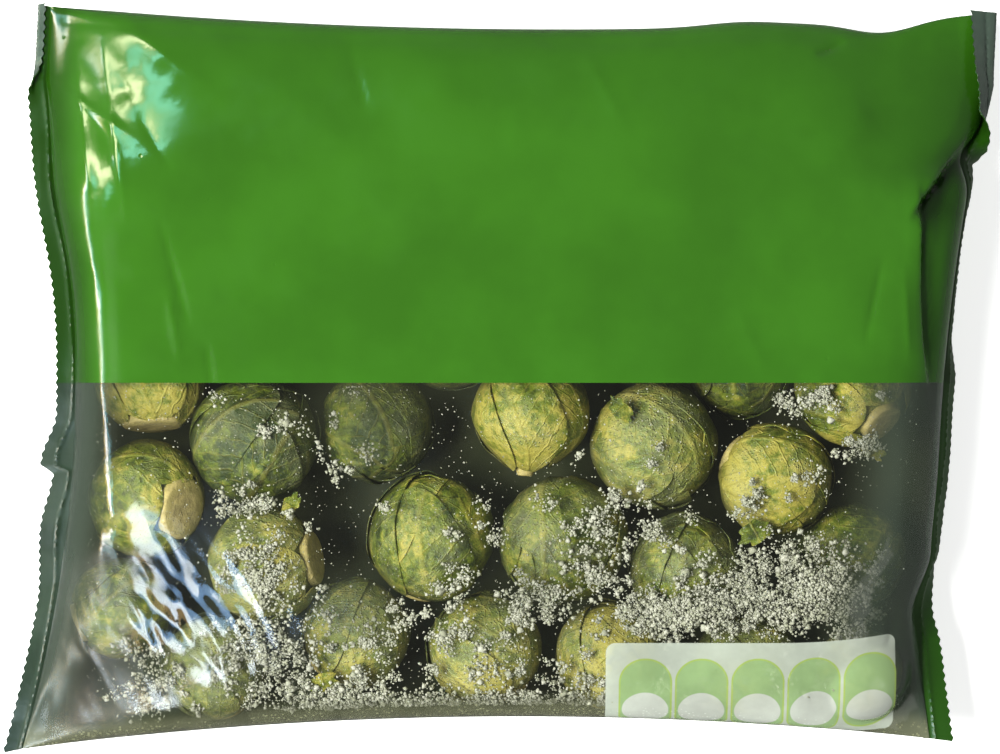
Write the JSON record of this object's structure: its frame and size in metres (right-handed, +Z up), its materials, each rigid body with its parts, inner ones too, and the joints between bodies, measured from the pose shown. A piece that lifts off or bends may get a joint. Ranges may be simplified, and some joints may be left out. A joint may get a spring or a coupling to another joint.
{
  "type": "bag of frozen brussels sprouts",
  "caption": "Sealed plastic pillow bag of frozen Brussels sprouts: green film with a clear window over the lower front, zig-zag end seals, loose sprouts and ice crumbs inside.",
  "frame": {"origin": "centre of the bag's plan, on the table that it lies on", "axes": "+X along the bag from one end seal to the other, +Y towards the top fold, +Z up out of the printed front"},
  "size_m": [0.26, 0.196, 0.044],
  "materials": {
    "film_print": "glossy green printed film",
    "film_clear": "hazy clear film",
    "sprout_leaf": "frosted olive-green leaf",
    "ice": "white frost crumbs"
  },
  "bodies": {
    "root": {"film_printed": "film_print", "film_window": "film_clear", "sprout_01": "sprout_leaf", "sprout_02": "sprout_leaf", "sprout_03": "sprout_leaf", "sprout_04": "sprout_leaf", "sprout_05": "sprout_leaf", "sprout_06": "sprout_leaf", "sprout_07": "sprout_leaf", "sprout_08": "sprout_leaf", "sprout_09": "sprout_leaf", "sprout_10": "sprout_leaf", "sprout_11": "sprout_leaf", "sprout_12": "sprout_leaf", "sprout_13": "sprout_leaf", "sprout_14": "sprout_leaf", "sprout_15": "sprout_leaf", "sprout_16": "sprout_leaf", "sprout_17": "sprout_leaf", "sprout_18": "sprout_leaf", "sprout_19": "sprout_leaf", "sprout_20": "sprout_leaf", "sprout_21": "sprout_leaf", "sprout_22": "sprout_leaf", "sprout_23": "sprout_leaf", "sprout_24": "sprout_leaf", "sprout_25": "sprout_leaf", "sprout_26": "sprout_leaf", "sprout_27": "sprout_leaf", "sprout_28": "sprout_leaf", "sprout_29": "sprout_leaf", "sprout_30": "sprout_leaf", "sprout_31": "sprout_leaf", "sprout_32": "sprout_leaf", "sprout_33": "sprout_leaf", "sprout_34": "sprout_leaf", "ice_drift_left": "ice", "ice_drift_middle": "ice", "ice_drift_right": "ice"}
  },
  "joints": []
}
